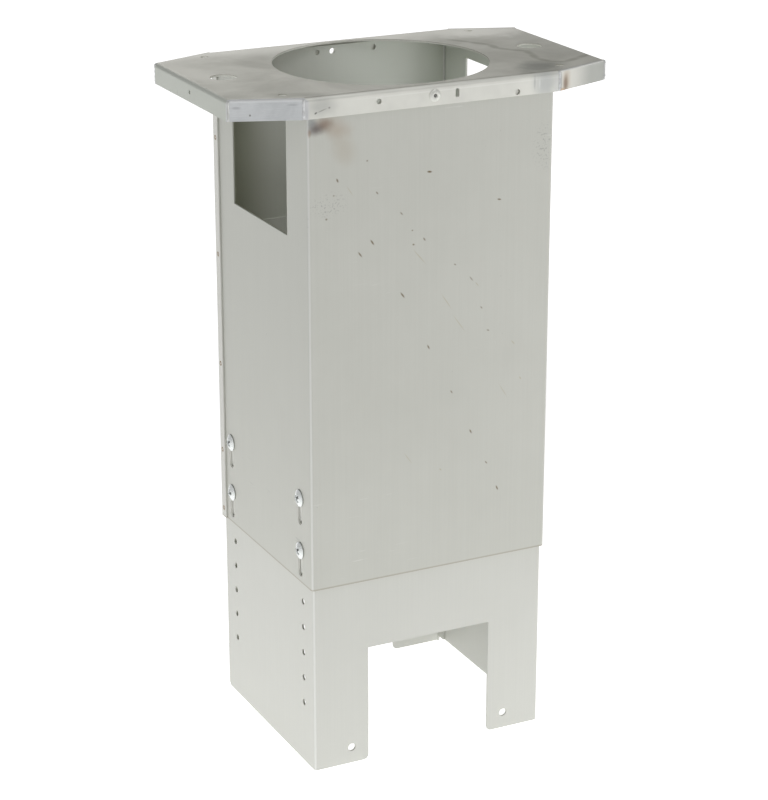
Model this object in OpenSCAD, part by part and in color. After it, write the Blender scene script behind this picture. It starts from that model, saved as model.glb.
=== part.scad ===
// Adjustable sheet-steel pedestal enclosure for an electricity meter socket.
// Millimetres. +Z is up, the front faces -Y.
// The origin is on the floor under the middle of the enclosure.
// A tall upper section with a flanged top plate slides over an open-ended lower section on four legs.
// Eight clamp screws pass through slots in the upper section into threaded holes of the lower section.

/* [Sheet] */
// Thickness of every folded sheet
sheet_t = 1.5; // [1:0.1:2.5]
// Inside radius of the folds in the walls
fold_r = 1; // [0.5:0.1:2]
// Clearance between the lower section and the upper section, on every side
sleeve_gap = 0.3; // [0.3:0.1:1]

/* [Upper section] */
// Outer width across the side walls
body_w = 203.2; // [180:0.1:260]
// Outer depth, front face to rear face
body_d = 174.6; // [174:0.1:240]
// Height from the lower edge of the walls to the top face of the plate
upper_h = 383.8; // [320:0.1:480]
// Width of the rear panel's flanges, measured on the outside of the side walls
upper_flange_w = 10; // [6:0.5:12]

/* [Side windows] */
// Width of the window in each side wall, front to rear
window_w = 100; // [40:1:115]
// Height of each window
window_h = 95; // [40:1:130]
// Distance from the plate's top face down to the window's upper edge
window_drop = 16.4; // [10:0.1:60]

/* [Top plate] */
// How far the plate runs past each side wall
plate_overhang = 54.4; // [35:0.1:80]
// Distance from the side wall outwards to where the slanted corner edge begins
corner_start = 2.3; // [2.3:0.1:8]
// How far the slanted corner edge runs back from the front and rear edges
corner_rise = 19.6; // [12:0.1:35]
// Height of the turned-down lips, measured from the plate's top face
lip_h = 15.9; // [12:0.1:16]
// Inside radius of the folds between the plate and its lips
lip_fold_r = 2; // [1:0.1:2.5]
// Clearance between the lips and the walls that they overlap
lip_gap = 0.3; // [0.3:0.1:1]
// Radius of the round meter opening
opening_r = 82.55; // [50:0.05:83]
// Radius of the large hole near each end of the plate
end_hole_r = 10; // [5:0.1:12]
// Distance from each end of the plate to the middle of its large hole
end_hole_inset = 27; // [18:0.5:30]
// Radius of the four small holes in the plate
plate_hole_r = 3.2; // [2:0.1:4]
// Distance from the side wall outwards to the small plate holes
plate_hole_out = 12.4; // [8:0.1:18]
// Distance from the front and rear edges of the plate to the small plate holes
plate_hole_inset = 16.6; // [12:0.1:25]

/* [Lip holes] */
// Depth of the lip holes' common line below the plate's top face
lip_hole_drop = 8.4; // [7:0.1:9]
// Radius of the plain round holes in the lips and in the walls behind them
lip_hole_r = 2.1; // [1:0.1:2.5]
// Distance of the plain front hole to the left of the middle
front_hole_left = 45.2; // [20:0.1:75]
// Distance of the upright front slot to the right of the middle
front_slot_right = 18.7; // [12:0.1:40]
// Width of the upright front slot
front_slot_w = 3.2; // [2:0.1:4]
// Height of the upright front slot
front_slot_h = 7; // [5:0.1:8]
// Distance of the low front hole to the right of the middle
front_hole_right = 69.2; // [45:0.1:80]
// Height of the low front hole above the lips' lower edge
low_hole_rise = 3; // [2.9:0.1:5]
// Spacing of the three holes in the rear wall behind the lip
rear_hole_pitch = 49.4; // [40:0.1:50]
// Distance of the rear wall's middle hole to the right of the middle
rear_hole_right = 36; // [30:0.1:40]
// Radius of the small hole in the middle of each end lip
end_lip_hole_r = 1.6; // [1:0.1:2.5]

/* [Lower section] */
// Height of the lower section's walls
lower_h = 401; // [330:1:430]
// Width of the rear panel's flanges, folded inside the side walls
lower_flange_w = 12; // [6:0.5:16]
// Width of the cable cut-outs in the front and rear walls
cutout_w = 106.6; // [50:0.1:125]
// Height of the cable cut-outs
cutout_h = 97; // [50:1:130]
// Radius of the sheet's rounded corners at the floor
foot_corner_r = 4; // [2:0.5:6]
// Gap left between the floor and the lower edge of the right wall
right_wall_lift = 4.5; // [0.5:0.1:10]
// Radius of the anchor hole in each foot
leg_hole_r = 3.2; // [2:0.1:5]
// Distance from the outer face of the side wall to the anchor hole
leg_hole_inset = 32; // [12:0.5:34]
// Height of the anchor holes above the floor
leg_hole_z = 13.5; // [10:0.5:30]

/* [Height adjustment] */
// Radius of the threaded holes in the lower section's side walls
thread_hole_r = 2.55; // [1.5:0.05:2.8]
// Height of the lowest threaded hole above the floor
first_hole_z = 51.5; // [20:0.5:60]
// Spacing of the threaded holes up each column
hole_pitch = 21.6; // [18:0.1:26]
// Number of threaded holes in each column
hole_count = 9; // [9:1:10]
// Which hole of the column, counted from zero, takes the lower clamp screw
low_screw_hole = 6; // [4:1:6]
// Number of hole spacings between the lower and the upper clamp screw
screw_step = 2; // [2:1:2]
// Distance from the front or rear face of the upper section to its screw columns
column_inset = 21; // [19.5:0.1:24]
// Width of the slots in the upper section
slot_w = 7; // [6.6:0.1:8]
// Height of the lower slots' middle above the lower edge of the upper section
slot_rise = 18.9; // [17:0.1:30]
// Height of the clamp screws above the middle of their slots
screw_offset = 7.4; // [-10:0.1:10]

/* [Clamp screws] */
// Radius of the screw thread
screw_r = 3.1; // [2.9:0.05:3.2]
// Radius of the screw where the lower section's thread holds it
screw_root_r = 2.5; // [1.4:0.05:2.5]
// Length of the screw under its head
screw_len = 12.7; // [8:0.1:20]
// Radius of the truss head
head_r = 7.2; // [5:0.1:8]
// Height of the truss head
head_h = 3.4; // [2.5:0.1:4]
// Height of the straight rim of the truss head
head_rim = 0.6; // [0.3:0.1:1]
// Width across the cross recess
recess_w = 6.4; // [4:0.1:7]
// Width of each arm of the cross recess
recess_arm = 1.5; // [1:0.1:2]
// Depth of the cross recess
recess_depth = 2; // [1:0.1:2.2]

/* [Rivet and welds] */
// Radius of the blind rivet's shank
rivet_r = 2.4; // [1.5:0.05:2.6]
// Radius of the blind rivet's head
rivet_head_r = 4.7; // [3.5:0.1:5]
// Height of the blind rivet's head
rivet_head_h = 1.4; // [0.8:0.1:2]
// Radius of the bulb that the rivet forms behind the wall
rivet_bulb_r = 3.3; // [2.8:0.1:4]
// Length of the rivet's bulb
rivet_bulb_h = 4; // [2:0.5:6]
// Radius of the hole that the rivet's mandrel leaves
rivet_bore_r = 1.3; // [0.8:0.1:1.4]
// Clearance between the rivet's shank and its hole
rivet_clearance = 0.05; // [0.05:0.05:0.2]
// Radius of the upright weld beads at the ends of the corner lips
bead_r = 2.1; // [2:0.1:2.2]
// How far the middle of a weld bead lies inside the corner that it fills
bead_sink = 0.8; // [0.6:0.1:1]
// Gap between a corner lip and the front or rear lip, filled by the bead
bead_gap_side = 1.2; // [1.1:0.1:1.5]
// Gap between a corner lip and the end lip, filled by the bead
bead_gap_end = 2; // [1.8:0.1:2.1]
// Leg length of the fillet welds under the plate
fillet_leg = 3; // [2:0.5:4]
// Length of each fillet weld
fillet_len = 35; // [15:1:50]
// Distance of the fillet welds' middle from the middle of the side wall
fillet_y = 45; // [30:1:50]

/* [Hidden] */
$fn = 48;

// How far a cutting shape runs past the faces that it cuts
over = 1;

fold_out_r = fold_r + sheet_t;
lip_out_r = lip_fold_r + sheet_t;

// Threaded holes, screws and slots share one ladder of heights
low_screw_z = first_hole_z + low_screw_hole * hole_pitch;
high_screw_z = low_screw_z + screw_step * hole_pitch;
slot_len = hole_pitch + slot_w;
column_y = body_d / 2 - column_inset;

// Heights of the upper section, which follow from where its slots stand on the screws
upper_z = low_screw_z - screw_offset - slot_rise;
top_z = upper_z + upper_h;
under_plate_z = top_z - sheet_t;
folded_wall_top_z = top_z - lip_out_r;
lip_bottom_z = top_z - lip_h;
lip_hole_z = top_z - lip_hole_drop;

// Width of the rear panel, whose flanges lap the side walls
upper_rear_w = body_w + 2 * sheet_t;

// Plan of the plate
plate_d = body_d + 2 * (lip_gap + sheet_t);
plate_l = body_w + 2 * plate_overhang;
corner_x = body_w / 2 + corner_start;
end_y = plate_d / 2 - corner_rise;
corner_len = norm([plate_l / 2 - corner_x, corner_rise]);
corner_angle = atan2(-corner_rise, plate_l / 2 - corner_x);
plate_hole_x = body_w / 2 + plate_hole_out;
plate_hole_y = plate_d / 2 - plate_hole_inset;
end_hole_x = plate_l / 2 - end_hole_inset;

// Plan of the lower section, which follows the inside of the upper section
lower_w = body_w - 2 * (sheet_t + sleeve_gap);
lower_d = body_d - 2 * (sheet_t + sleeve_gap);
leg_hole_x = lower_w / 2 - leg_hole_inset;

// Distances down the clamp screw, from the underside of its head
screw_to_thread = 2 * sleeve_gap + sheet_t;
rivet_grip = 2 * sheet_t + lip_gap;

left = -1;
right = 1;
front = -1;
rear = 1;

// Mirrors a shape drawn in the right rear quarter into the quarter that is asked for
module in_quarter(side, end) {
    mirror([side < 0 ? 1 : 0, 0, 0])
        mirror([0, end < 0 ? 1 : 0, 0])
            children();
}

// Section of a fold: a quarter ring about the origin, in the first quadrant
module fold_section(inner_r) {
    intersection() {
        difference() {
            circle(r = inner_r + sheet_t);
            circle(r = inner_r);
        }
        square(inner_r + sheet_t);
    }
}

// Section of a folded channel's web: its outer face lies on the X axis
module channel_web(width) {
    translate([-width / 2 + fold_out_r, 0])
        square([width - 2 * fold_out_r, sheet_t]);
}

// Section of one fold of the channel and the leg that points from it to +Y
module channel_leg(side, width, leg) {
    translate([side * (width - sheet_t) / 2 - sheet_t / 2, fold_out_r])
        square([sheet_t, leg - fold_out_r]);
    translate([side * (width / 2 - fold_out_r), fold_out_r])
        rotate(side < 0 ? 180 : 270)
            fold_section(fold_r);
}

// Section of the whole folded channel
module channel_section(width, leg) {
    channel_web(width);
    for (side = [left, right])
        channel_leg(side, width, leg);
}

// Cutting shape that rounds a sheet's corner at the origin, with the sheet in the first quadrant
module corner_trim(r, depth) {
    linear_extrude(depth)
        difference() {
            translate([-over, -over])
                square(r + over);
            translate([r, r])
                circle(r = r);
        }
}

// Round hole along Y, from one depth to another
module hole_y(x, z, r, y_from, y_to) {
    translate([x, y_from, z])
        rotate([-90, 0, 0])
            cylinder(r = r, h = y_to - y_from);
}

// Upright slot along X through one side wall, centred on the given place
module slot_x(side, y, z, width, length) {
    translate([side > 0 ? 0 : -body_w, y, z])
        rotate([0, 90, 0]) {
            for (z_end = [-1, 1])
                translate([z_end * (length - width) / 2, 0, 0])
                    cylinder(r = width / 2, h = body_w);
            translate([-(length - width) / 2, -width / 2, 0])
                cube([length - width, width, body_w]);
        }
}

// Lip folded down from the plate, along X: its outer face is on y = 0, the plate's top face on z = 0
module folded_lip(length) {
    rotate([90, 0, 90])
        linear_extrude(length, center = true) {
            translate([-lip_out_r, -lip_out_r])
                fold_section(lip_fold_r);
            translate([-sheet_t, -lip_h])
                square([sheet_t, lip_h - lip_out_r]);
        }
}

// Front or rear folded lip, in place
module long_lip(end) {
    translate([0, 0, top_z])
        rotate(end > 0 ? 0 : 180)
            translate([0, plate_d / 2, 0])
                folded_lip(2 * corner_x);
}

// Left or right folded lip, in place
module short_lip(side) {
    translate([0, 0, top_z])
        rotate(side > 0 ? -90 : 90)
            translate([0, plate_l / 2, 0])
                folded_lip(2 * end_y);
}

// All four folded lips, in place
module folded_lips() {
    for (end = [front, rear])
        long_lip(end);
    for (side = [left, right])
        short_lip(side);
}

// Flat part of the plate: it stops where the folded lips begin and runs out to the slanted corner edges
module plate_outline() {
    polygon([
        for (quarter = [[1, 1], [-1, 1], [-1, -1], [1, -1]])
            for (i = [0:3])
                let (
                    forward = quarter[0] * quarter[1] > 0,
                    corner = [
                        [plate_l / 2 - lip_out_r, end_y],
                        [plate_l / 2, end_y],
                        [corner_x, plate_d / 2],
                        [corner_x, plate_d / 2 - lip_out_r]
                    ],
                    p = corner[forward ? i : 3 - i]
                )
                [quarter[0] * p[0], quarter[1] * p[1]]
    ]);
}

// Holes through the front lip and the front wall behind it, with the rivet's hole in the middle
module front_lip_holes() {
    y_from = -plate_d / 2 - over;
    y_to = -body_d / 2 + sheet_t + over;
    hole_y(0, lip_hole_z, rivet_r + rivet_clearance, y_from, y_to);
    hole_y(-front_hole_left, lip_hole_z, lip_hole_r, y_from, y_to);
    hole_y(front_hole_right, lip_bottom_z + low_hole_rise, lip_hole_r, y_from, y_to);
    for (z_end = [-1, 1])
        hole_y(front_slot_right, lip_hole_z + z_end * (front_slot_h - front_slot_w) / 2,
            front_slot_w / 2, y_from, y_to);
    translate([front_slot_right, y_from, lip_hole_z])
        translate([-front_slot_w / 2, 0, -(front_slot_h - front_slot_w) / 2])
            cube([front_slot_w, y_to - y_from, front_slot_h - front_slot_w]);
}

// Hole through the middle of the rear lip and the rear wall
module rear_lip_hole() {
    hole_y(0, lip_hole_z, rivet_r + rivet_clearance, body_d / 2 - sheet_t - over, plate_d / 2 + over);
}

// Flat top plate with its round opening and bolt holes
module top_plate() {
    color([0.68, 0.69, 0.66])
    difference() {
        translate([0, 0, under_plate_z])
            linear_extrude(sheet_t)
                plate_outline();
        translate([0, 0, under_plate_z - over]) {
            cylinder(r = opening_r, h = sheet_t + 2 * over, $fn = 96);
            for (side = [left, right]) {
                translate([side * end_hole_x, 0, 0])
                    cylinder(r = end_hole_r, h = sheet_t + 2 * over);
                for (end = [front, rear])
                    translate([side * plate_hole_x, end * plate_hole_y, 0])
                        cylinder(r = plate_hole_r, h = sheet_t + 2 * over);
            }
        }
    }
}

// Fold and lip along the front or rear edge of the plate
module plate_lip(end) {
    color([0.72, 0.73, 0.7])
    difference() {
        long_lip(end);
        if (end == front)
            front_lip_holes();
        else
            rear_lip_hole();
    }
}

// Fold and lip along one end of the plate
module end_lip(side) {
    color([0.7, 0.71, 0.69])
    difference() {
        short_lip(side);
        translate([side * plate_l / 2 - sheet_t - over, 0, lip_hole_z])
            rotate([0, 90, 0])
                cylinder(r = end_lip_hole_r, h = 2 * (sheet_t + over));
    }
}

// Flat strip that closes one slanted corner: under the plate, flush with its edge, trimmed to the lips
module corner_lip(side, end) {
    color([0.66, 0.68, 0.69])
    difference() {
        in_quarter(side, end)
            translate([corner_x, plate_d / 2, lip_bottom_z])
                rotate(corner_angle)
                    translate([bead_gap_side, -sheet_t, 0])
                        cube([corner_len - bead_gap_side - bead_gap_end, sheet_t, lip_h - sheet_t]);
        folded_lips();
    }
}

// Upright weld beads at both ends of one corner lip, each on the line that halves its corner
module corner_welds(side, end) {
    corners = [
        [corner_x, plate_d / 2, 90 + corner_angle / 2],
        [plate_l / 2, end_y, (90 + corner_angle) / 2]
    ];
    color([0.55, 0.56, 0.55])
    difference() {
        in_quarter(side, end)
            for (corner = corners)
                translate([corner[0], corner[1], lip_bottom_z])
                    rotate(corner[2])
                        translate([-bead_sink, 0, 0])
                            cylinder(r = bead_r, h = lip_h - sheet_t);
        folded_lips();
        corner_lip(side, end);
    }
}

// Fillet welds between the outside of one side wall and the underside of the plate
module plate_welds(side) {
    color([0.5, 0.5, 0.49])
    in_quarter(side, rear)
        for (end = [front, rear])
            translate([body_w / 2, end * fillet_y + fillet_len / 2, under_plate_z])
                rotate([90, 0, 0])
                    linear_extrude(fillet_len)
                        polygon([[0, 0], [0, -fillet_leg], [fillet_leg, 0]]);
}

// Front wall and both side walls of the upper section, folded from one sheet
module upper_front_wrap() {
    side_len = body_d - sheet_t - fold_r;
    color([0.76, 0.77, 0.73])
    difference() {
        translate([0, -body_d / 2, 0]) {
            translate([0, 0, upper_z])
                linear_extrude(folded_wall_top_z - upper_z)
                    channel_section(body_w, side_len);
            for (side = [left, right])
                translate([side * (body_w - sheet_t) / 2 - sheet_t / 2, fold_out_r, folded_wall_top_z])
                    cube([sheet_t, side_len - fold_out_r, under_plate_z - folded_wall_top_z]);
        }
        translate([-body_w, -window_w / 2, top_z - window_drop - window_h])
            cube([2 * body_w, window_w, window_h]);
        for (side = [left, right], end = [front, rear], screw_z = [low_screw_z, high_screw_z])
            slot_x(side, end * column_y, screw_z - screw_offset, slot_w, slot_len);
        front_lip_holes();
    }
}

// Rear wall of the upper section
module upper_rear_panel() {
    color([0.75, 0.76, 0.72])
    difference() {
        translate([0, body_d / 2, upper_z])
            mirror([0, 1, 0])
                linear_extrude(folded_wall_top_z - upper_z)
                    channel_web(upper_rear_w);
        rear_lip_hole();
        for (i = [-1:1])
            hole_y(rear_hole_right + i * rear_hole_pitch, lip_hole_z, lip_hole_r,
                body_d / 2 - sheet_t - over, body_d / 2 + over);
    }
}

// Fold and flange of the rear wall, which laps the outside of one side wall
module upper_rear_flange(side) {
    color([0.75, 0.76, 0.72])
    translate([0, body_d / 2, upper_z])
        mirror([0, 1, 0])
            linear_extrude(folded_wall_top_z - upper_z)
                channel_leg(side, upper_rear_w, upper_flange_w);
}

// Blind rivet through the front lip and the front wall
module lip_rivet() {
    color([0.62, 0.63, 0.62])
    translate([0, -plate_d / 2, lip_hole_z])
        rotate([-90, 0, 0])
            difference() {
                union() {
                    translate([0, 0, -rivet_head_h])
                        cylinder(r1 = rivet_head_r - rivet_head_h, r2 = rivet_head_r, h = rivet_head_h);
                    cylinder(r = rivet_r, h = rivet_grip);
                    translate([0, 0, rivet_grip])
                        cylinder(r1 = rivet_bulb_r, r2 = rivet_r, h = rivet_bulb_h);
                }
                translate([0, 0, -rivet_head_h - over])
                    cylinder(r = rivet_bore_r, h = rivet_head_h + over + rivet_grip);
            }
}

// Cable cut-out, rounded foot corners and anchor holes in a front or rear wall of the lower section
module foot_cuts(end) {
    y_from = end > 0 ? lower_d / 2 - sheet_t - over : -lower_d / 2 - over;
    cut_depth = sheet_t + 2 * over;
    translate([-cutout_w / 2, y_from, -over])
        cube([cutout_w, cut_depth, cutout_h + over]);
    for (side = [left, right]) {
        hole_y(side * leg_hole_x, leg_hole_z, leg_hole_r, y_from, y_from + cut_depth);
        in_quarter(side, rear)
            translate([cutout_w / 2, y_from + cut_depth, 0])
                rotate([90, 0, 0])
                    corner_trim(foot_corner_r, cut_depth);
    }
}

// Front wall and both side walls of the lower section, folded from one sheet
module lower_front_wrap() {
    color([0.82, 0.82, 0.79])
    difference() {
        translate([0, -lower_d / 2, 0])
            linear_extrude(lower_h)
                channel_section(lower_w, lower_d);
        foot_cuts(front);
        translate([lower_w / 2 - sheet_t - over, -lower_d / 2 + fold_out_r, -over])
            cube([sheet_t + 2 * over, lower_d, right_wall_lift + over]);
        for (wall = [[left, 0], [right, right_wall_lift]])
            translate([wall[0] * (lower_w - sheet_t) / 2 - sheet_t / 2 - over, lower_d / 2, wall[1]])
                mirror([0, 1, 0])
                    rotate([90, 0, 90])
                        corner_trim(foot_corner_r, sheet_t + 2 * over);
        for (end = [front, rear], i = [0:hole_count - 1])
            translate([-body_w, end * column_y, first_hole_z + i * hole_pitch])
                rotate([0, 90, 0])
                    cylinder(r = thread_hole_r, h = 2 * body_w);
    }
}

// Rear wall of the lower section, with flanges folded inside the side walls
module lower_rear_panel() {
    color([0.8, 0.8, 0.76])
    difference() {
        translate([0, lower_d / 2, 0])
            rotate(180)
                linear_extrude(lower_h)
                    channel_section(lower_w - 2 * sheet_t, lower_flange_w);
        foot_cuts(rear);
        translate([0, 0, -over])
            cube([lower_w, lower_d / 2 - fold_out_r, right_wall_lift + over]);
    }
}

// Truss-head machine screw along X, its thread held in the lower section's side wall
module clamp_screw(side, end, screw_z) {
    tip_h = screw_r - screw_root_r;
    dome_h = head_h - head_rim;
    dome_r = (head_r * head_r + dome_h * dome_h) / (2 * dome_h);
    color([0.8, 0.81, 0.8])
    in_quarter(side, end)
        translate([body_w / 2 + sleeve_gap, column_y, screw_z])
            rotate([0, 90, 0]) {
                difference() {
                    intersection() {
                        cylinder(r = head_r, h = head_h);
                        translate([0, 0, head_h - dome_r])
                            sphere(r = dome_r);
                    }
                    for (arm = [0, 90])
                        rotate(arm)
                            translate([-recess_w / 2, -recess_arm / 2, head_h - recess_depth])
                                cube([recess_w, recess_arm, recess_depth + over]);
                }
                translate([0, 0, -screw_to_thread])
                    cylinder(r = screw_r, h = screw_to_thread);
                translate([0, 0, -screw_to_thread - sheet_t])
                    cylinder(r = screw_root_r, h = sheet_t);
                translate([0, 0, -screw_len])
                    cylinder(r1 = screw_root_r, r2 = screw_r, h = tip_h);
                translate([0, 0, -screw_len + tip_h])
                    cylinder(r = screw_r, h = screw_len - tip_h - sheet_t - screw_to_thread);
            }
}

top_plate();
plate_lip(front);  // front_lip
plate_lip(rear);  // rear_lip
end_lip(left);  // end_lip_left
end_lip(right);  // end_lip_right
corner_lip(left, front);  // corner_lip_front_left
corner_lip(right, front);  // corner_lip_front_right
corner_lip(left, rear);  // corner_lip_rear_left
corner_lip(right, rear);  // corner_lip_rear_right
corner_welds(left, front);  // corner_welds_front_left
corner_welds(right, front);  // corner_welds_front_right
corner_welds(left, rear);  // corner_welds_rear_left
corner_welds(right, rear);  // corner_welds_rear_right
plate_welds(left);  // plate_welds_left
plate_welds(right);  // plate_welds_right
upper_front_wrap();
upper_rear_panel();
upper_rear_flange(left);  // upper_rear_flange_left
upper_rear_flange(right);  // upper_rear_flange_right
lip_rivet();
lower_front_wrap();
lower_rear_panel();
clamp_screw(left, front, low_screw_z);  // clamp_screw_left_front_low
clamp_screw(left, front, high_screw_z);  // clamp_screw_left_front_high
clamp_screw(left, rear, low_screw_z);  // clamp_screw_left_rear_low
clamp_screw(left, rear, high_screw_z);  // clamp_screw_left_rear_high
clamp_screw(right, front, low_screw_z);  // clamp_screw_right_front_low
clamp_screw(right, front, high_screw_z);  // clamp_screw_right_front_high
clamp_screw(right, rear, low_screw_z);  // clamp_screw_right_rear_low
clamp_screw(right, rear, high_screw_z);  // clamp_screw_right_rear_high
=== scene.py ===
"""Looks of a height-adjustable sheet-steel meter pedestal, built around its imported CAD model.

Metres, in the CAD frame: +Z up, the front faces -Y, the origin on the floor under the middle.
"""

import math
import random

import bmesh
import bpy
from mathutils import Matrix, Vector, noise


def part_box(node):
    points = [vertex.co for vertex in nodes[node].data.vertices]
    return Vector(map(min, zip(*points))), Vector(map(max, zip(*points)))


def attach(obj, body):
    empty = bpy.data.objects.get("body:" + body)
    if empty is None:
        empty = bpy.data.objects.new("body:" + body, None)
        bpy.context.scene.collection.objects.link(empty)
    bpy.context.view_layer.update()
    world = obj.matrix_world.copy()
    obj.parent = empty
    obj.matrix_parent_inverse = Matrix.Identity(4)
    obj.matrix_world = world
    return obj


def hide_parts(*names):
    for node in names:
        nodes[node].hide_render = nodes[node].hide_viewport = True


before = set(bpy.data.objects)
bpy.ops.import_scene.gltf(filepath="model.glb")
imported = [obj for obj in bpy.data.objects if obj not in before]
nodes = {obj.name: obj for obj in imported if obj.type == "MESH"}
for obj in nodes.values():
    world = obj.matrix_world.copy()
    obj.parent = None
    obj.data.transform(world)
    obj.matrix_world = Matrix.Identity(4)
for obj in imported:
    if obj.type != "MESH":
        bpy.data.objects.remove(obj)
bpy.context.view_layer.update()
scene = bpy.context.scene

MM = 0.001
LOWER, UPPER = "lower_section", "upper_section"

# ---------------------------------------------------------------- places taken from the CAD nodes
plate_lo, plate_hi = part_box("top_plate")
front_lip_lo, front_lip_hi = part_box("front_lip")
end_lip_lo, end_lip_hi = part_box("end_lip_right")
wrap_lo, wrap_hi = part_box("upper_front_wrap")
lower_lo, lower_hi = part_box("lower_front_wrap")
rivet_lo, rivet_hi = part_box("lip_rivet")
TOP_Z = plate_hi.z
LIP_Z = front_lip_lo.z
HALF_W = wrap_hi.x
FRONT_Y = wrap_lo.y
LIP_Y = front_lip_lo.y
LIP_X = front_lip_hi.x
END_X = end_lip_hi.x
END_Y = end_lip_hi.y
slant_run = math.hypot(END_X - LIP_X, -LIP_Y - END_Y)
SLANT_X = (-LIP_Y - END_Y) / slant_run
SLANT_Y = (END_X - LIP_X) / slant_run
SLANT_REACH = LIP_X * SLANT_X - LIP_Y * SLANT_Y

# The screw slots, where light is painted on the wall inside them: distance from the middle, and
# the fades at their lowest and highest ends
SLOT_Y = 0.0663
SLOTS_START, SLOTS_STOP = (0.157, 0.159), (0.235, 0.245)
PLATE_NODES = ("top_plate", "front_lip", "rear_lip", "end_lip_left", "end_lip_right")

# ---------------------------------------------------------------- base colours
# How strongly shade is painted on the outer side walls of the upper section towards the top
SIDE_SHADE = 0.22
COAT_LIGHT, COAT_DARK = (0.635, 0.64, 0.59), (0.585, 0.59, 0.54)
LOW_LIGHT, LOW_DARK = (0.69, 0.695, 0.65), (0.64, 0.645, 0.6)
PLATE_DARK, PLATE_LIGHT = (0.39, 0.385, 0.335), (0.52, 0.515, 0.455)
LIP_DARK, LIP_LIGHT = (0.74, 0.74, 0.685), (0.84, 0.84, 0.78)
END_TINT = (0.52, 0.545, 0.495)
GROUND_DARK, GROUND_LIGHT = (0.56, 0.58, 0.59), (0.69, 0.71, 0.72)


# ---------------------------------------------------------------- material graphs
class Graph:
    """One procedural material, built node by node around its Principled shader."""

    def __init__(self, name, metallic, roughness):
        self.material = bpy.data.materials.new(name)
        self.material.use_nodes = True
        self.tree = self.material.node_tree
        self.shader = self.tree.nodes["Principled BSDF"]
        self.shader.inputs["Metallic"].default_value = metallic
        self.shader.inputs["Roughness"].default_value = roughness
        self.point = self.add("ShaderNodeTexCoord").outputs["Object"]
        xyz = self.add("ShaderNodeSeparateXYZ", {0: self.point})
        self.x, self.y, self.z = xyz.outputs

    def add(self, kind, values=None, **props):
        node = self.tree.nodes.new(kind)
        for key, value in props.items():
            setattr(node, key, value)
        for socket, value in (values or {}).items():
            self.put(node.inputs[socket], value)
        return node

    def put(self, socket, value):
        if isinstance(value, bpy.types.NodeSocket):
            self.tree.links.new(value, socket)
        else:
            socket.default_value = value

    def math(self, operation, a, b=0.0):
        return self.add("ShaderNodeMath", {0: a, 1: b}, operation=operation).outputs[0]

    def band(self, value, low, high, to_low=0.0, to_high=1.0):
        """Smooth step: to_low where value is under low, to_high where it is over high."""
        node = self.add(
            "ShaderNodeMapRange",
            {0: value, 1: low, 2: high, 3: to_low, 4: to_high},
            interpolation_type="SMOOTHSTEP",
        )
        return node.outputs[0]

    def under(self, value, low, high):
        """1 where value is under low, falling to 0 at high."""
        return self.band(value, low, high, 1.0, 0.0)

    def both(self, first, second):
        return self.math("MULTIPLY", first, second)

    def share(self, first, second, part):
        """Blends two tones: part of the first and the rest of the second."""
        return self.math("ADD", self.both(first, part), self.both(second, 1 - part))

    def size(self, value):
        return self.math("ABSOLUTE", value)

    def about_zero(self, value, reach):
        """Moves a noise of 0 to 1 to lie about 0, and scales it."""
        return self.both(self.math("SUBTRACT", value, 0.5), reach)

    def mix(self, factor, a, b):
        node = self.add("ShaderNodeMix", data_type="RGBA")
        self.put(node.inputs[0], factor)
        self.put(node.inputs[6], a if isinstance(a, bpy.types.NodeSocket) else (*a, 1))
        self.put(node.inputs[7], b if isinstance(b, bpy.types.NodeSocket) else (*b, 1))
        return node.outputs[2]

    def noise(self, scale, stretch=(1, 1, 1), detail=3.0, rough=0.5, warp=0.0, shift=(0, 0, 0)):
        place = self.add("ShaderNodeMapping", {0: self.point, 1: shift, 3: stretch})
        node = self.add(
            "ShaderNodeTexNoise",
            {"Vector": place.outputs[0], "Scale": scale, "Detail": detail,
             "Roughness": rough, "Distortion": warp},
        )
        return node.outputs[0]

    def blob(self, centre, radii, turn=(0, 0, 0), soft=0.6, wobble=None):
        """1 inside an ellipsoid, falling to 0 at its surface."""
        place = self.add(
            "ShaderNodeMapping", {0: self.point, 1: centre, 2: turn, 3: radii},
            vector_type="TEXTURE",
        )
        length = self.add("ShaderNodeVectorMath", {0: place.outputs[0]}, operation="LENGTH")
        distance = length.outputs["Value"]
        if wobble is not None:
            distance = self.math("ADD", distance, wobble)
        return self.under(distance, 1.0 - soft, 1.0)

    def most(self, masks):
        total = masks[0]
        for mask in masks[1:]:
            total = self.math("MAXIMUM", total, mask)
        return total

    def span(self, value, middle, half, soft):
        """1 within half of middle, falling to 0 over soft."""
        away = self.size(self.math("SUBTRACT", value, middle))
        return self.under(away, half, half + soft)

    def wash(self, color, mask, amount, tint):
        return self.mix(self.both(mask, amount), color, tint)

    def finish(self, color, roughness=None, height=None, strength=0.2, distance=0.0005):
        self.put(self.shader.inputs["Base Color"], color)
        if roughness is not None:
            self.put(self.shader.inputs["Roughness"], roughness)
        if height is not None:
            bump = self.add(
                "ShaderNodeBump",
                {"Height": height, "Strength": strength, "Distance": distance},
            )
            self.put(self.shader.inputs["Normal"], bump.outputs[0])
        return self.material


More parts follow.
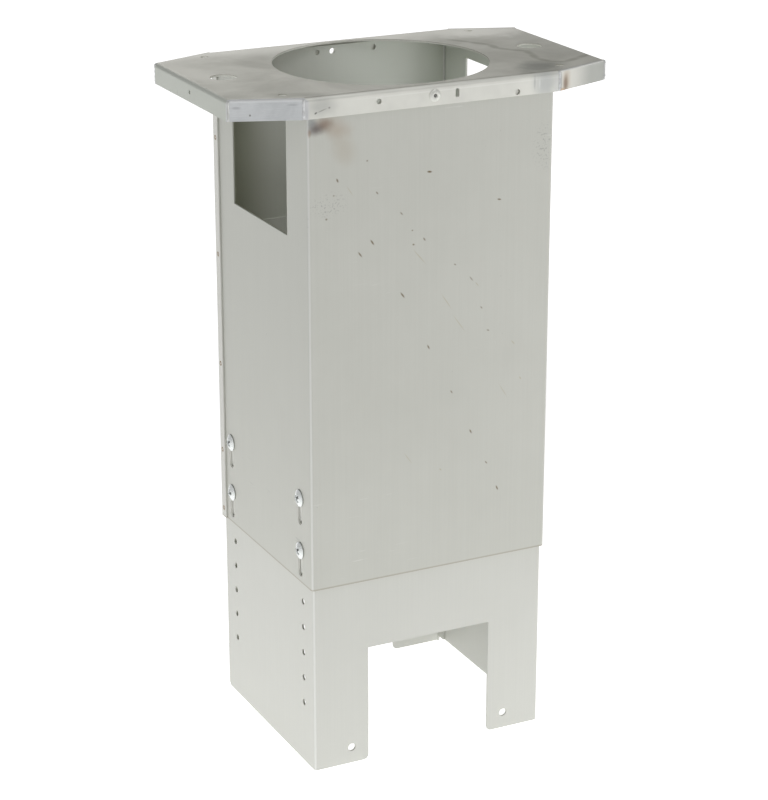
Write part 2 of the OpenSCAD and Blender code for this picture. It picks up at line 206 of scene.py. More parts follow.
def coated_material(name, light, dark, outer, marks_and_painted_light):
    """Dull zinc-iron coated sheet: upright roll grain, faint clouds, painted highlights on the
    folds and painted light in the slots.

    outer holds the section's right and front faces. The inside has painted shade at its left. On
    the section that carries marks, the inside has painted light towards the right, the outer side
    walls have painted shade towards the top, and the outside carries the marks of use.
    """
    g = Graph(name, 0.3, 0.48)
    cloud = g.noise(9.0, detail=4.0, rough=0.55)
    grain = g.noise(1.0, stretch=(900, 900, 9), detail=4.0, rough=0.6)
    fine = g.noise(2400.0, detail=2.0)
    color = g.mix(g.share(g.band(cloud, 0.3, 0.7), g.band(grain, 0.3, 0.7), 0.75), dark, light)
    specks = g.band(g.noise(420.0, detail=1.0), 0.76, 0.83)
    patch = g.band(g.noise(14.0, detail=2.0, shift=(3.1, 0.7, 1.9)), 0.56, 0.7)
    color = g.wash(color, g.both(specks, patch), 0.4, (0.3, 0.3, 0.27))
    wide = g.size(g.x)
    deep = g.size(g.y)
    inner = g.both(
        g.under(wide, outer.x - 0.0012, outer.x - 0.0006),
        g.under(deep, -outer.y - 0.0012, -outer.y - 0.0006),
    )
    # Painted shade on the inside towards its left, where the rear-left corner lies.
    toned = g.both(inner, g.under(g.x, -0.09, -0.045))
    color = g.wash(color, toned, 0.8, (0.22, 0.23, 0.15))
    # Painted highlight along the outer folds at the front corners.
    painted_fold_highlight = g.both(
        g.band(wide, outer.x - 0.0019, outer.x - 0.0008),
        g.under(g.y, outer.y + 0.0008, outer.y + 0.0019),
    )
    color = g.wash(color, painted_fold_highlight, 0.65, (0.88, 0.885, 0.86))
    # Painted light on the wall seen inside the screw slots, lifting the shade there.
    slots = g.both(g.span(deep, SLOT_Y, 0.0038, 0.0005), g.band(g.z, *SLOTS_START))
    slots = g.both(slots, g.under(g.z, *SLOTS_STOP))
    cheek = g.under(wide, HALF_W - 0.0005, HALF_W - 0.0003)
    color = g.wash(color, g.both(slots, cheek), 0.8, (0.9, 0.9, 0.86))
    if marks_and_painted_light:
        # Painted light on the inside towards the right, where light through the top opening
        # falls.
        pale = g.both(inner, g.band(g.x, -0.08, 0.05))
        color = g.wash(color, pale, 0.72, (0.82, 0.86, 0.79))
        seam = g.both(
            g.band(wide, outer.x - 0.0035, outer.x - 0.0028),
            g.band(g.y, -outer.y - 0.0024, -outer.y - 0.0019),
        )
        color = g.wash(color, g.both(seam, inner), 0.9, (0.97, 0.98, 0.96))
        flange = g.band(wide, HALF_W + 0.0004, HALF_W + 0.0009)
        # Painted shade: the outer side walls darker towards the top.
        sides = g.band(wide, outer.x - 0.0012, outer.x - 0.0006)
        shade = g.both(sides, g.band(g.z, 0.15, 0.5))
        color = g.wash(color, shade, SIDE_SHADE, (0.33, 0.345, 0.325))
        color = g.wash(color, flange, 0.9, (0.72, 0.72, 0.68))
        color = front_marks(g, color)
        color = side_marks(g, color)
    rough = g.math("ADD", g.band(cloud, 0.25, 0.75, 0.44, 0.54), g.both(fine, 0.04))
    height = g.math("ADD", g.both(grain, 0.4), g.both(fine, 0.5))
    return g.finish(color, rough, height, 0.1, 0.0002)


# Half a fleck's length and width as painted, as parts of the sizes in the list
FLECK_LONG, FLECK_WIDE = 0.64, 0.66
# Flecks stronger than this are brown, the others yellowish
BROWN_LEVEL = 0.35
# Flecks on the front wall, in mm and degrees: x, z, length, width, tilt, strength
FLECKS = [
    (-3, 473, 4.4, 1.7, 8, 1.0), (56, 445, 3.6, 1.4, 12, 0.85), (-50, 425, 5.4, 1.5, 56, 0.85),
    (-60, 417, 5.6, 1.4, 54, 0.75), (-26, 444, 3.6, 1.3, 48, 0.5), (-16, 419, 2.2, 1.5, 20, 0.7),
    (-7, 422, 3.4, 1.5, 55, 0.6), (19, 399, 2.4, 1.3, 30, 0.5), (33, 386, 5.0, 1.2, 52, 0.45),
    (38, 381, 5.0, 0.8, 50, 0.3), (-25, 381, 6.0, 1.5, 54, 0.8), (-3, 337, 4.4, 1.4, 62, 0.75),
    (42, 362, 2.8, 1.2, 50, 0.5), (48, 343, 2.8, 1.3, 25, 0.5), (17, 298, 3.4, 1.3, 55, 0.55),
    (34, 263, 4.2, 1.5, 62, 0.75), (48, 235, 3.2, 1.3, 50, 0.6), (58, 212, 4.6, 1.5, 66, 0.8),
    (-78, 475, 3.6, 1.6, 66, 0.75), (-46, 462, 3.0, 1.3, 50, 0.6), (-87, 447, 2.0, 1.7, 0, 0.6),
    (-81, 464, 1.6, 1.3, 0, 0.5), (-54, 487, 1.8, 1.5, 0, 0.5), (-17, 430, 1.8, 1.4, 0, 0.5),
    (-11, 409, 16, 0.9, 50, 0.28), (12, 371, 15, 0.9, 56, 0.25), (23, 352, 17, 0.8, 54, 0.25),
    (-68, 466, 9, 0.8, 56, 0.22), (70, 330, 5, 1.0, 50, 0.3), (77, 300, 3, 1.2, 60, 0.35),
    (-20, 250, 12, 0.8, 55, 0.22), (62, 292, 14, 0.8, 58, 0.2), (8, 236, 2.4, 1.2, 40, 0.35),
]


def front_marks(g, color):
    """Weld heat, brown flecks, grey speckle and scratches on the upper front wall."""
    on_front = g.under(g.y, FRONT_Y + 0.0002, FRONT_Y + 0.0012)
    ragged = g.about_zero(g.noise(60.0, detail=4.0), 0.8)
    heat = [
        ((-0.079, 0.5135), (0.02, 0.0125), 0.5, 0.95, 0.42, (0.42, 0.31, 0.22)),
        ((-0.073, 0.499), (0.012, 0.022), -0.35, 0.95, 0.26, (0.44, 0.36, 0.25)),
        ((-0.0885, 0.5168), (0.0125, 0.009), -0.1, 0.95, 0.7, (0.24, 0.155, 0.105)),
        ((-0.0945, 0.5145), (0.0105, 0.0065), 0.1, 0.95, 0.75, (0.12, 0.1, 0.1)),
        ((-0.098, 0.52), (0.006, 0.006), 0.0, 0.95, 0.5, (0.16, 0.17, 0.2)),
        ((-0.1, 0.512), (0.0022, 0.004), 0.0, 0.9, 0.4, (0.3, 0.16, 0.08)),
    ]
    for (x, z), (wide, tall), turn, soft, amount, tint in heat:
        mask = g.blob((x, FRONT_Y, z), (wide, 0.05, tall), (0, turn, 0), soft, ragged)
        color = g.wash(color, g.both(mask, on_front), amount, tint)
    for level in sorted({fleck[5] for fleck in FLECKS}, reverse=True):
        flecks = g.most([
            g.blob(
                (x * MM, FRONT_Y, z * MM),
                (length * MM * FLECK_LONG, 0.004, width * MM * FLECK_WIDE),
                (0, math.radians(tilt), 0), 0.75,
            )
            for x, z, length, width, tilt, strength in FLECKS if strength == level
        ])
        tint = (0.17, 0.125, 0.055) if level > BROWN_LEVEL else (0.42, 0.36, 0.18)
        color = g.wash(color, g.both(flecks, on_front), level ** 0.8, tint)
    zones = g.most([
        g.blob((-0.085, FRONT_Y, 0.457), (0.02, 0.03, 0.014), soft=0.9),
        g.blob((0.094, FRONT_Y, 0.482), (0.014, 0.03, 0.026), soft=0.9),
    ])
    dots = g.band(g.noise(620.0, detail=2.0), 0.56, 0.66)
    speckle = g.both(g.both(zones, dots), on_front)
    color = g.wash(color, speckle, 0.42, (0.24, 0.24, 0.23))
    scuffs = g.band(g.noise(1.0, stretch=(30, 30, 620), detail=2.0, warp=0.4), 0.7, 0.76)
    worn = g.band(g.noise(11.0, detail=2.0, shift=(0.3, 2.2, 5.1)), 0.52, 0.66)
    scuffs = g.both(g.both(scuffs, worn), on_front)
    return g.wash(color, scuffs, 0.35, (0.8, 0.8, 0.77))


def side_marks(g, color):
    """Faint rubbed lines on the side walls and a brown lower rim on the upper section."""
    rim = g.under(g.z, wrap_lo.z + 0.0004, wrap_lo.z + 0.0016)
    color = g.wash(color, rim, 0.5, (0.3, 0.25, 0.17))
    wide = g.size(g.x)
    on_side = g.band(wide, HALF_W - 0.0012, HALF_W - 0.0003)
    lines = g.band(g.noise(1.0, stretch=(20, 60, 500), detail=2.0, warp=0.5), 0.68, 0.76)
    patch = g.band(g.noise(13.0, detail=2.0, shift=(1.3, 4.2, 2.1)), 0.5, 0.66)
    lines = g.both(g.both(lines, patch), on_side)
    return g.wash(color, lines, 0.3, (0.35, 0.37, 0.36))


# Path of the scorched line on the plate's right end, in mm, and half its width in metres
SCORCH_HALF = 0.0048
SCORCH = [
    (84, 47), (94, 33), (103, 16), (102, 3), (109, -8), (117, -16), (115, -28), (111, -43),
    (114, -59), (124, -64), (140, -56), (155, -48),
]


def plate_material():
    """Top plate: zinc-coated sheet clouded by welding heat, with painted light on its rear part,
    paler down the folded lips.
    """
    g = Graph("plate_steel", 0.35, 0.45)
    cloud = g.noise(16.0, detail=5.0, rough=0.6, warp=0.6)
    brush = g.noise(1.0, stretch=(30, 1400, 30), detail=3.0, rough=0.6)
    tone = g.share(g.band(cloud, 0.3, 0.7), g.band(brush, 0.3, 0.7), 0.85)
    color = g.mix(tone, PLATE_DARK, PLATE_LIGHT)
    ragged = g.about_zero(g.noise(55.0, detail=5.0), 1.1)
    clouds = [
        ((-0.14, 0.012), (0.016, 0.05), 0.15, 0.5, (0.62, 0.61, 0.55)),
        ((-0.12, 0.068), (0.034, 0.013), -0.2, 0.45, (0.3, 0.29, 0.24)),
        ((-0.103, -0.077), (0.034, 0.008), -0.25, 0.5, (0.3, 0.3, 0.25)),
        ((-0.148, -0.062), (0.012, 0.009), -0.3, 0.35, (0.32, 0.32, 0.27)),
        ((-0.097, -0.083), (0.012, 0.006), 0.0, 0.5, (0.24, 0.23, 0.2)),
        ((0.1, -0.07), (0.026, 0.02), 0.4, 0.75, (0.15, 0.155, 0.13)),
        ((0.135, -0.03), (0.022, 0.03), 0.3, 0.3, (0.33, 0.33, 0.29)),
        ((0.138, 0.03), (0.02, 0.05), 0.2, 0.25, (0.34, 0.34, 0.3)),
        ((0.096, 0.02), (0.01, 0.036), 0.3, 0.3, (0.58, 0.58, 0.53)),
        ((0.12, 0.062), (0.036, 0.024), -0.2, 0.85, (0.76, 0.75, 0.69)),
    ]
    for (x, y), (wide, deep), turn, amount, tint in clouds:
        mask = g.blob((x, y, TOP_Z), (wide * 1.2, deep * 1.2, 0.01), (0, 0, turn), 0.8, ragged)
        color = g.wash(color, mask, amount, tint)
    path = []
    for (x0, y0), (x1, y1) in zip(SCORCH, SCORCH[1:]):
        length = math.hypot(x1 - x0, y1 - y0)
        path.append(g.blob(
            ((x0 + x1) / 2 * MM, (y0 + y1) / 2 * MM, TOP_Z),
            ((length / 2 + 7) * MM, SCORCH_HALF, 0.01),
            (0, 0, math.atan2(y1 - y0, x1 - x0)), 0.75, g.both(ragged, 0.3),
        ))
    color = g.wash(color, g.most(path), 0.5, (0.17, 0.165, 0.12))
    # Painted light on the rear part of the plate top.
    color = g.wash(color, g.band(g.y, 0.045, 0.083), 0.75, (0.78, 0.77, 0.71))
    side = g.under(g.z, TOP_Z - 0.0009, TOP_Z - 0.00003)
    pale = g.mix(g.band(brush, 0.25, 0.75), LIP_DARK, LIP_LIGHT)
    pale = lip_marks(g, pale, ragged)
    color = g.mix(side, color, pale)
    wide = g.size(g.x)
    deep = g.size(g.y)
    reach = g.math("ADD", g.both(wide, SLANT_X), g.both(deep, SLANT_Y))
    rim = g.band(reach, SLANT_REACH - 0.0017, SLANT_REACH - 0.0005)
    rim = g.both(rim, g.band(g.x, 0.0, 0.05, 0.85, 0.35))
    color = g.wash(color, rim, 1.0, (0.66, 0.67, 0.68))
    fine = g.noise(1800.0, detail=2.0)
    rough = g.math("ADD", g.band(cloud, 0.25, 0.75, 0.52, 0.4), g.both(fine, 0.05))
    height = g.math("ADD", g.both(brush, 0.4), g.both(fine, 0.4))
    return g.finish(color, rough, height, 0.1, 0.0002)


def lip_marks(g, color, ragged):
    """Darker end lips, and on the front lip a painted highlight along its crease, smoky corners
    and a small dent painted as dark shade.
    """
    wide = g.size(g.x)
    color = g.wash(color, g.band(wide, END_X - 0.0035, END_X - 0.0008), 0.9, END_TINT)
    on_front = g.under(g.y, LIP_Y + 0.002, LIP_Y + 0.0035)
    # Painted highlight along the front lip's crease, which the shape does not have.
    crease_highlight = g.both(g.span(g.z, 0.5335, 0.0002, 0.0005), g.band(g.x, -0.09, -0.02))
    color = g.wash(color, g.both(crease_highlight, on_front), 0.4, (0.92, 0.92, 0.88))
    marks = [
        ((-0.092, 0.531), (0.018, 0.01), 0.0, 0.95, 0.5, (0.4, 0.41, 0.39)),
        ((-0.1025, 0.527), (0.0016, 0.008), 0.0, 0.9, 0.7, (0.14, 0.14, 0.15)),
        # Painted shade of a small dent, which the shape does not have.
        ((-0.0955, 0.5268), (0.0017, 0.001), -0.5, 0.8, 0.9, (0.09, 0.09, 0.08)),
        ((-0.0905, 0.5283), (0.0052, 0.0006), -0.3, 0.8, 0.55, (0.2, 0.19, 0.17)),
        ((-0.0848, 0.5298), (0.0012, 0.001), 0.0, 0.8, 0.6, (0.2, 0.19, 0.17)),
        ((0.093, 0.53), (0.014, 0.016), 0.0, 0.8, 0.55, (0.45, 0.475, 0.48)),
        ((0.0835, 0.531), (0.0012, 0.007), 0.0, 0.9, 0.4, (0.35, 0.36, 0.36)),
        ((0.0876, 0.5305), (0.0013, 0.006), 0.0, 0.9, 0.5, (0.86, 0.87, 0.84)),
    ]
    for (x, z), (long, tall), turn, soft, amount, tint in marks:
        mask = g.blob(
            (x, LIP_Y, z), (long, 0.012, tall), (0, turn, 0), soft, g.both(ragged, 0.5),
        )
        color = g.wash(color, g.both(mask, on_front), amount, tint)
    scratch = g.blob((-END_X, 0.0243, 0.5253), (0.01, 0.0004, 0.0028), (0.2, 0, 0), 0.8)
    return g.wash(color, scratch, 0.6, (0.25, 0.26, 0.22))


def ground_material():
    """Corner lips after grinding: bluish bright steel on the left, duller to the right."""
    g = Graph("ground_steel", 0.5, 0.4)
    cloud = g.noise(60.0, detail=4.0, rough=0.6, warp=0.5)
    lines = g.noise(1.0, stretch=(120, 120, 2600), detail=3.0, rough=0.65)
    tone = g.share(g.band(cloud, 0.3, 0.7), g.band(lines, 0.3, 0.7), 0.6)
    color = g.mix(tone, GROUND_DARK, GROUND_LIGHT)
    toned = g.mix(g.band(g.x, 0.118, 0.142), (0.76, 0.75, 0.69), (0.48, 0.49, 0.45))
    color = g.wash(color, g.band(g.x, -0.05, 0.05), 0.9, toned)
    # Paler ground weld along the top of each corner lip, with a painted highlight on it, fading
    # to the right.
    bright = g.both(
        g.band(g.z, TOP_Z - 0.0032, TOP_Z - 0.0016), g.band(g.x, 0.0, 0.05, 1.0, 0.2),
    )
    color = g.wash(color, bright, 0.55, (0.84, 0.85, 0.86))
    ragged = g.about_zero(g.noise(90.0, detail=4.0), 0.5)
    marks = [
        ((0.1125, -0.0858, 0.529), (0.0065, 0.012, 0.016), 0.6, (0.5, 0.4, 0.29)),
        ((0.1118, -0.0862, 0.5275), (0.0036, 0.01, 0.0095), 0.7, (0.22, 0.15, 0.11)),
        ((0.1062, -0.0882, 0.5285), (0.0022, 0.01, 0.02), 0.6, (0.3, 0.31, 0.34)),
        ((0.1085, -0.0873, 0.5236), (0.0034, 0.01, 0.0016), 0.6, (0.6, 0.38, 0.18)),
        ((-0.1405, -0.0753, 0.527), (0.0009, 0.004, 0.0011), 0.85, (0.12, 0.12, 0.1)),
        ((-0.1495, -0.072, 0.5325), (0.0045, 0.006, 0.0016), 0.4, (0.3, 0.3, 0.32)),
        ((-0.112, -0.0858, 0.534), (0.006, 0.006, 0.0012), 0.3, (0.3, 0.31, 0.33)),
    ]
    for centre, radii, amount, tint in marks:
        color = g.wash(color, g.blob(centre, radii, soft=0.85, wobble=ragged), amount, tint)
    rough = g.band(cloud, 0.25, 0.75, 0.46, 0.34)
    return g.finish(color, rough, lines, 0.12, 0.0002)


def weld_material():
    """Weld metal: bright ripples, darker in the low places."""
    g = Graph("weld_steel", 0.6, 0.38)
    cloud = g.noise(200.0, detail=3.0, rough=0.55)
    color = g.mix(g.band(cloud, 0.32, 0.6), (0.58, 0.585, 0.58), (0.8, 0.81, 0.815))
    color = g.wash(color, g.band(g.size(g.x), 0.14, 0.145), 0.6, (0.5, 0.51, 0.48))
    return g.finish(color, g.band(cloud, 0.3, 0.7, 0.48, 0.32), cloud, 0.2, 0.0003)


def zinc_material(name, dark, light, metallic, roughness, hollows=(), radii=None):
    """Zinc plating, with painted shade of the given radii in the hollows at the given centres."""
    g = Graph(name, metallic, roughness)
    cloud = g.noise(700.0, detail=4.0, rough=0.6)
    color = g.mix(g.band(cloud, 0.3, 0.7), dark, light)
    if hollows:
        # Painted shade in the hollows: the screws' cross recesses and the rivet's bore.
        hollow_shade = g.most([g.blob(centre, radii, soft=0.35) for centre in hollows])
        color = g.wash(color, hollow_shade, 0.85, (0.13, 0.13, 0.12))
    rough = g.band(cloud, 0.25, 0.75, roughness + 0.08, roughness - 0.06)
    return g.finish(color, rough, cloud, 0.05, 0.0001)


# Depth of the middle of the painted shade in a screw's recess under the top of its head
SCREW_HOLLOW_DEEP = 0.0028

coated = coated_material(
    "coated_steel", COAT_LIGHT, COAT_DARK, Vector((wrap_hi.x, wrap_lo.y)), True,
)
coated_low = coated_material(
    "coated_steel_lower", LOW_LIGHT, LOW_DARK, Vector((lower_hi.x, lower_lo.y)), False,
)
plate = plate_material()
ground = ground_material()
weld = weld_material()
screw_hollows = []
for name in nodes:
    if name.startswith("clamp_screw"):
        lo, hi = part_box(name)
        out = hi.x if hi.x > -lo.x else lo.x
        screw_hollows.append((
            out - math.copysign(SCREW_HOLLOW_DEEP, out), (lo.y + hi.y) / 2, (lo.z + hi.z) / 2,
        ))
screw_zinc = zinc_material(
    "screw_zinc", (0.86, 0.9, 0.885), (0.93, 0.95, 0.94), 0.45, 0.3,
    screw_hollows, (0.0018, 0.0038, 0.0038),
)
spot = zinc_material("spot_steel", (0.26, 0.19, 0.12), (0.45, 0.38, 0.29), 0.6, 0.45)
rivet_zinc = zinc_material(
    "rivet_zinc", (0.74, 0.74, 0.69), (0.84, 0.84, 0.79), 0.4, 0.42,
    [(0.0, rivet_lo.y + 0.001, (rivet_lo.z + rivet_hi.z) / 2)], (0.00165, 0.0009, 0.00165),
)


def material_of(name):
    if name.startswith("clamp_screw"):
        return screw_zinc
    if "welds" in name:
        return weld
    if name.startswith("corner_lip"):
        return ground
    if name == "lip_rivet":
        return rivet_zinc
    if name in PLATE_NODES:
        return plate
    return coated_low if name.startswith("lower") else coated


for name, node in nodes.items():
    node.data.materials.clear()
    node.data.materials.append(material_of(name))


# ---------------------------------------------------------------- mesh helpers
def make_piece(name, bm, material, body, smooth_angle=38.0):
    """Turns a bmesh drawn in the CAD frame into a piece that rides on its body."""
    bmesh.ops.recalc_face_normals(bm, faces=bm.faces)
    mesh = bpy.data.meshes.new(name)
    bm.to_mesh(mesh)
    bm.free()
    mesh.shade_smooth()
    mesh.set_sharp_from_angle(angle=math.radians(smooth_angle))
    mesh.materials.append(material)
    piece = bpy.data.objects.new(name, mesh)
    scene.collection.objects.link(piece)
    flat_faces = piece.modifiers.new("flat_faces", "WEIGHTED_NORMAL")
    flat_faces.keep_sharp = True
    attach(piece, body)
    return piece


def skin(bm, grid):
    """Closed skin over a row of rings that have the same number of points."""
    spokes = len(grid[0])
    for first, second in zip(grid, grid[1:]):
        for j in range(spokes):
            k = (j + 1) % spokes
            bm.faces.new((first[j], first[k], second[k], second[j]))
    bm.faces.new(list(reversed(grid[0])))
    bm.faces.new(grid[-1])


def clean_copy(*names):
    """The CAD nodes' solids joined into one bmesh, with flat areas merged."""
    parts = []
    for name in names:
        part = bpy.data.objects.new("part_" + name, nodes[name].data.copy())
        scene.collection.objects.link(part)
        parts.append(part)
    whole = parts[0]
    for part in parts[1:]:
        join = whole.modifiers.new(part.name, "BOOLEAN")
        join.operation = "UNION"
        join.solver = "EXACT"
        join.object = part
    bm = bmesh.new()
    bm.from_object(whole, bpy.context.evaluated_depsgraph_get())
    for part in parts:
        mesh = part.data
        bpy.data.objects.remove(part)
        bpy.data.meshes.remove(mesh)
    bmesh.ops.remove_doubles(bm, verts=bm.verts, dist=0.00001)
    bmesh.ops.dissolve_limit(
        bm, angle_limit=math.radians(0.6), verts=bm.verts, edges=bm.edges,
    )
    return bm


def soften(bm, width, segments=2, angle=35.0, chosen=None):
    """Rounds the sharp edges, as the cut edges of real sheet are."""
    edges = [
        e for e in bm.edges
        if len(e.link_faces) == 2 and e.calc_face_angle(0.0) > math.radians(angle)
        and (chosen is None or chosen(e))
    ]
    bmesh.ops.bevel(
        bm, geom=edges, offset=width, offset_type="OFFSET", segments=segments,
        profile=0.5, affect="EDGES", clamp_overlap=True,
    )
    return bm


# Rounding of the cut edges, and of the plate's ground slanted rims
SHEET_EDGE = 0.0002
PLATE_EDGE = 0.00018
RIM_EDGE = 0.0011
CORNER_LIP_EDGE = 0.0003


def dressed(name, node, body):
    """A wall of sheet with softened edges in place of its CAD node."""
    bm = soften(clean_copy(node), SHEET_EDGE)
    piece = make_piece(name, bm, material_of(node), body)
    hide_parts(node)


# ---------------------------------------------------------------- walls
dressed("upper_wrap_sheet", "upper_front_wrap", UPPER)
dressed("upper_rear_sheet", "upper_rear_panel", UPPER)
dressed("upper_flange_left", "upper_rear_flange_left", UPPER)
dressed("upper_flange_right", "upper_rear_flange_right", UPPER)
dressed("lower_wrap_sheet", "lower_front_wrap", LOWER)
dressed("lower_rear_sheet", "lower_rear_panel", LOWER)


# ---------------------------------------------------------------- plate
def is_slanted_rim(edge):
    """The plate's upper edges along its four slanted corners."""
    a, b = (v.co for v in edge.verts)
    run = b - a
    return min(a.z, b.z) > TOP_Z - 0.0001 and abs(run.x) > 0.03 and abs(run.y) > 0.01


def make_plate():
    bm = clean_copy(*PLATE_NODES)
    soften(bm, RIM_EDGE, 4, chosen=is_slanted_rim)
    soften(bm, PLATE_EDGE)
    piece = make_piece("plate_shell", bm, plate, UPPER)
    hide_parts(*PLATE_NODES)


make_plate()


# ---------------------------------------------------------------- corner lips and their welds
def wave(x, y, z, scale):
    """Smooth noise about 0, for uneven weld metal."""
    return noise.noise(Vector((x, y, z)) * scale)


def make_corner_lip(end, side):
    name = "corner_lip_" + end + "_" + side
    bm = soften(clean_copy(name), CORNER_LIP_EDGE)
    piece = make_piece("ground_" + name, bm, ground, UPPER)
    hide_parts(name)


# A weld bead's middle behind the corner, its outer and inner reach and half its width
BEAD_SET_BACK = 0.0007
BEAD_OUT = 0.0016
BEAD_IN = 0.0012
BEAD_HALF = 0.001
# How far a bead's middle lies from the corner along the slanted lip
BEAD_SHIFT = 0.0009


def weld_ridge(bm, place, outward, low, high, seed, lump):
    """An upright run of weld metal, flattened by grinding, with an uneven crest."""
    rings, spokes = 30, 20
    out = Vector((math.cos(outward), math.sin(outward), 0))
    along = Vector((-out.y, out.x, 0))
    middle = Vector((place[0], place[1], 0)) - out * BEAD_SET_BACK
    grid = []
    for i in range(rings + 1):
        t = i / rings
        z = low + (high - low) * t
        cap = min(1.0, math.sqrt(max(0.0, 1 - (abs(2 * t - 1)) ** 14)) + 0.15)
        swell = 1 + 0.16 * wave(seed, 0, z, 520.0) + 0.07 * math.sin(z * 4300 + seed)
        swell += lump * math.exp(-((t - 0.2) / 0.11) ** 2)
        ring = []
        for j in range(spokes):
            turn = 2 * math.pi * j / spokes
            reach = BEAD_OUT if math.cos(turn) > 0 else BEAD_IN
            point = middle + out * (math.cos(turn) * reach * swell * cap)
            point += along * (math.sin(turn) * BEAD_HALF * (swell * 0.5 + 0.5) * cap)
            rough = 0.00008 * wave(point.x + seed, point.y, z, 1900.0)
            ring.append(bm.verts.new((*(point + out * rough).xy, z)))
        grid.append(ring)
    skin(bm, grid)


def make_corner_welds(end, side):
    name = "corner_welds_" + end + "_" + side
    flip_x = -1 if side == "left" else 1
    flip_y = -1 if end == "front" else 1
    slant = math.atan2(abs(LIP_Y) - END_Y, END_X - LIP_X)
    bm = bmesh.new()
    for n, (x, y, turn) in enumerate((
        (LIP_X, abs(LIP_Y), math.pi / 2 - slant / 2),
        (END_X, END_Y, (math.pi / 2 - slant) / 2),
    )):
        outward = math.atan2(flip_y * math.sin(turn), flip_x * math.cos(turn))
        toward_lip = BEAD_SHIFT if n == 0 else -BEAD_SHIFT
        x += toward_lip * SLANT_Y
        y -= toward_lip * SLANT_X
        lump = 0.3 if name == "corner_welds_front_left" and n == 0 else 0.08
        weld_ridge(
            bm, (flip_x * x, flip_y * y), outward, LIP_Z + 0.0001, TOP_Z - 0.0006,
            7.3 * n + 3.1 * flip_x + 1.7 * flip_y, lump,
        )
    piece = make_piece("seam_" + name, bm, weld, UPPER, 60.0)
    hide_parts(name)


# Length of a fillet under the plate, and how deep it sinks into the sheets it joins
FILLET_LONG = 0.035
FILLET_SINK = 0.0003


def make_plate_welds(side):
    """Short fillets under the plate, along the top edges of the side walls."""
    name = "plate_welds_" + side
    flip = -1 if side == "left" else 1
    lo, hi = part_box(name)
    leg = hi.x - lo.x
    root_x, root_z = HALF_W - FILLET_SINK, hi.z + FILLET_SINK
    rings, spokes = 40, 9
    bm = bmesh.new()
    for middle in (lo.y + FILLET_LONG / 2, hi.y - FILLET_LONG / 2):
        grid = []
        for i in range(rings + 1):
            t = i / rings
            y = middle + (t - 0.5) * FILLET_LONG
            size = leg * (0.82 + 0.12 * wave(flip, y, 0.3, 700.0) + 0.05 * math.sin(y * 3900))
            size *= min(1.0, 0.35 + 9 * min(t, 1 - t))
            ring = [bm.verts.new((flip * root_x, y, root_z))]
            for j in range(spokes):
                turn = math.pi / 2 * j / (spokes - 1)
                ring.append(bm.verts.new((
                    flip * (root_x + math.cos(turn) * size), y, root_z - math.sin(turn) * size,
                )))
            grid.append(ring)
        skin(bm, grid)
    piece = make_piece("fillet_" + name, bm, weld, UPPER, 60.0)
    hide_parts(name)


for side in ("left", "right"):
    make_plate_welds(side)
    for end in ("front", "rear"):
        make_corner_lip(end, side)
        make_corner_welds(end, side)


# ---------------------------------------------------------------- spot welds on the rear flanges
SPOT_HEIGHTS = (0.1625, 0.2136, 0.2874, 0.3786, 0.4728)
SPOT_SPOKES = 24
# A spot weld's section: radius, height over the flange
SPOT_PROFILE = (
    (0.0022, -0.0001), (0.0019, 0.00006), (0.0015, 0.0001), (0.001, 0.00002), (0.0005, -0.00002),
)


def make_spot_welds(side):
    """Shallow raised rings with a sunk middle, left by the spot welder's tips."""
    flip = -1 if side == "left" else 1
    lo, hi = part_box("upper_rear_flange_" + side)
    face_x = hi.x if side == "right" else lo.x
    y = (lo.y + hi.y) / 2 - 0.001
    bm = bmesh.new()
    for z in SPOT_HEIGHTS:
        grid = []
        for radius, rise in SPOT_PROFILE:
            grid.append([
                bm.verts.new((
                    face_x + flip * rise,
                    y + math.cos(2 * math.pi * j / SPOT_SPOKES) * radius,
                    z + math.sin(2 * math.pi * j / SPOT_SPOKES) * radius,
                )) for j in range(SPOT_SPOKES)
            ])
        skin(bm, grid)
    make_piece("spot_welds_" + side, bm, spot, UPPER, 60.0)


for side in ("left", "right"):
    make_spot_welds(side)


# ---------------------------------------------------------------- screws and rivet
def smooth_step(value, low, high):
    t = min(1.0, max(0.0, (value - low) / (high - low)))
    return t * t * (3 - 2 * t)


def spin(bm, frame_at, rings, spokes):
    """Closed round skin: rings of (radius, height) or of functions of the angle."""
    grid = []
    for ring in rings:
        row = []
        for j in range(spokes):
            turn = 2 * math.pi * j / spokes
            radius, height = ring(turn) if callable(ring) else ring
            u, v = radius * math.cos(turn), radius * math.sin(turn)
            row.append(bm.verts.new(frame_at(u, v, height)))
        grid.append(row)
    skin(bm, grid)


HEAD_R = 0.0067
HEAD_H = 0.0034
SHANK_R = 0.0031
ROOT_R = 0.0025
THREAD_PITCH = 0.0014
RECESS_ARM = 0.0036
RECESS_HALF = 0.0011
RECESS_DEEP = 0.002
# Rings over the head and the thread, and the radius of the head's innermost ring
HEAD_RINGS = 40
THREAD_RINGS = 84
INNER_R = 0.00012


def recess(x, y):
    """Depth of the tapered cross at a point of the head."""
    arm, side = max(abs(x), abs(y)), min(abs(x), abs(y))
    inside = 1 - smooth_step(side, RECESS_HALF - 0.0002, RECESS_HALF + 0.00015)
    inside *= 1 - smooth_step(arm, RECESS_ARM - 0.0012, RECESS_ARM)
    return RECESS_DEEP * inside


def dome(radius):
    """Truss head: a low dome that rolls over at a thin rim."""
    t = min(1.0, radius / HEAD_R)
    return HEAD_H * (1 - 0.84 * t ** 1.35)


